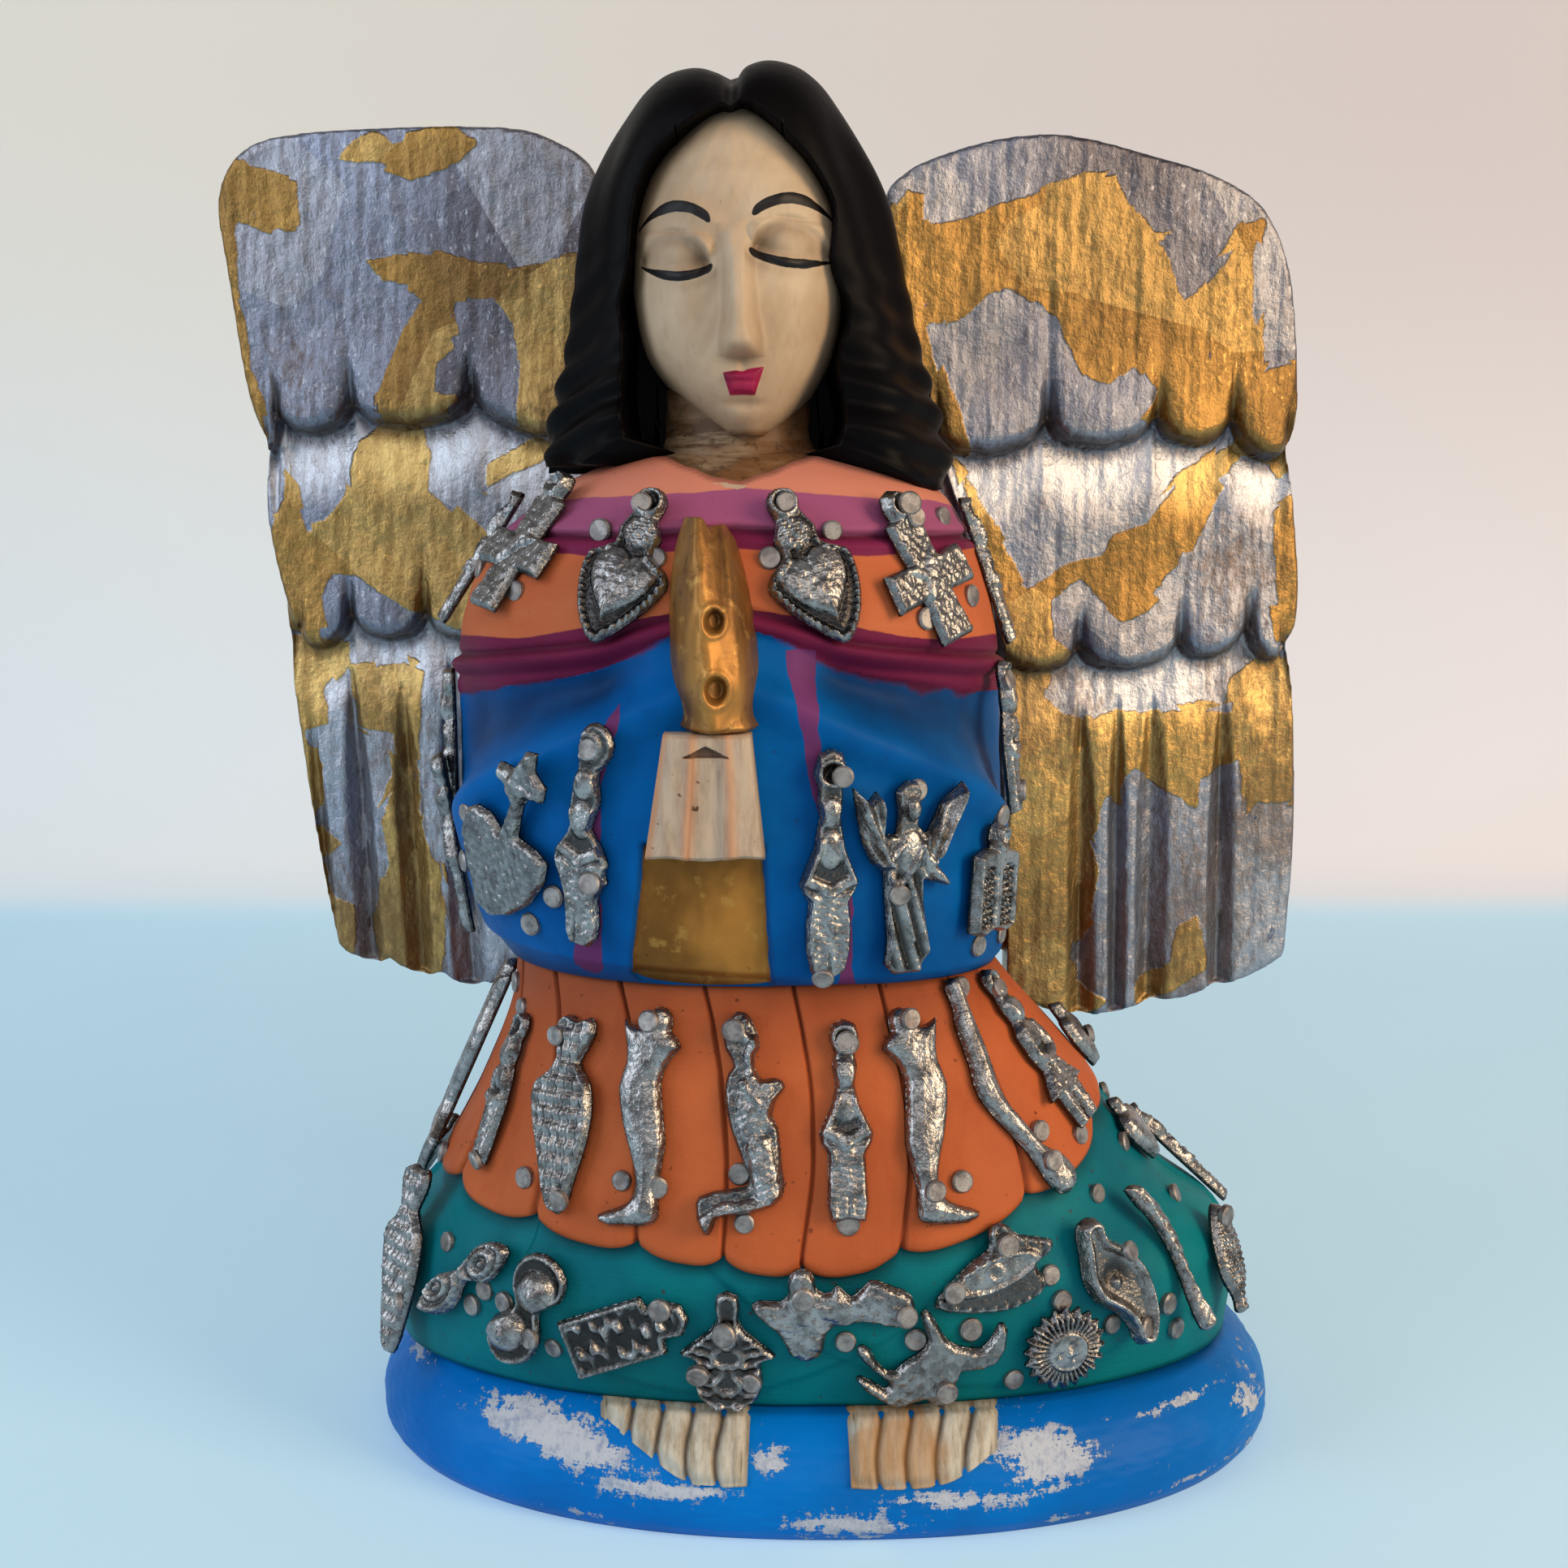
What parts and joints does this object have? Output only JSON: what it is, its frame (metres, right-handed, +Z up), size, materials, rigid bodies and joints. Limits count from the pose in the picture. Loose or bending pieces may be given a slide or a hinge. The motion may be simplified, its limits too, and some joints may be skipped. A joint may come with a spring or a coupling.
{
  "type": "angel figurine",
  "caption": "Standing carved angel figurine with praying hands, raised tiered wings, a pleated skirt on an oval plinth, and cast metal charms pinned to the cape and hem",
  "frame": {"origin": "middle of the plinth's flat underside", "axes": "+Z up, +X to the viewer's right, -Y toward the viewer"},
  "size_m": [0.1953, 0.1012, 0.2198],
  "materials": {
    "blue_painted_wood": "blue paint worn through to pale wood at the rim, bare cream feet",
    "orange_and_green_painted_wood": "orange paint on the pleats, teal green on the hem, dark stain in the grooves",
    "banded_painted_wood": "orange, magenta and blue painted bands, cream cuff, gold lining",
    "painted_face_and_hair": "aged cream skin, dark brown satin hair, fine brown lines",
    "gilded_wood": "patches of gold and silver leaf over blue, brown patina in the cuts",
    "bare_wood": "unpainted dowel",
    "antiqued_pewter": "cast grey metal, darkened in the hollows and rubbed bright on the relief"
  },
  "bodies": {
    "root": {"plinth_with_feet": "blue_painted_wood", "pleated_skirt": "orange_and_green_painted_wood", "caped_body": "banded_painted_wood", "head_with_hair": "painted_face_and_hair", "praying_hands": "gilded_wood", "left_wing": "gilded_wood", "right_wing": "gilded_wood", "base_dowel": "bare_wood", "waist_dowel": "bare_wood", "neck_dowel": "bare_wood", "left_wing_peg_lower": "bare_wood", "left_wing_peg_upper": "bare_wood", "right_wing_peg_lower": "bare_wood", "right_wing_peg_upper": "bare_wood", "charm_shoulder_figure_left": "antiqued_pewter", "charm_cross_left": "antiqued_pewter", "charm_heart_left": "antiqued_pewter", "charm_heart_right": "antiqued_pewter", "charm_cross_right": "antiqued_pewter", "charm_shoulder_figure_right": "antiqued_pewter", "charm_side_figure_left": "antiqued_pewter", "charm_side_leg_left": "antiqued_pewter", "charm_boat_with_cross": "antiqued_pewter", "charm_standing_woman": "antiqued_pewter", "charm_standing_man": "antiqued_pewter", "charm_archangel": "antiqued_pewter", "charm_side_figure_right": "antiqued_pewter", "charm_open_book": "antiqued_pewter", "charm_long_leg": "antiqued_pewter", "charm_small_figure": "antiqued_pewter", "charm_swaddled_infant": "antiqued_pewter", "charm_leg_left": "antiqued_pewter", "charm_kneeling_man": "antiqued_pewter", "charm_praying_figure": "antiqued_pewter", "charm_leg_right": "antiqued_pewter", "charm_bent_arm": "antiqued_pewter", "charm_woman_in_skirt": "antiqued_pewter", "charm_waist_figure_right": "antiqued_pewter", "charm_hip_heart_left": "antiqued_pewter", "charm_swaddled_child": "antiqued_pewter", "charm_pair_of_eyes": "antiqued_pewter", "charm_pair_of_domes": "antiqued_pewter", "charm_tablet": "antiqued_pewter", "charm_cherub": "antiqued_pewter", "charm_lying_child": "antiqued_pewter", "charm_eye_with_lashes": "antiqued_pewter", "charm_dog": "antiqued_pewter", "charm_sun_with_face": "antiqued_pewter", "charm_ear": "antiqued_pewter", "charm_long_leaf": "antiqued_pewter", "charm_fish": "antiqued_pewter", "charm_hip_heart_right": "antiqued_pewter", "charm_hip_figure_right": "antiqued_pewter"}
  },
  "joints": []
}
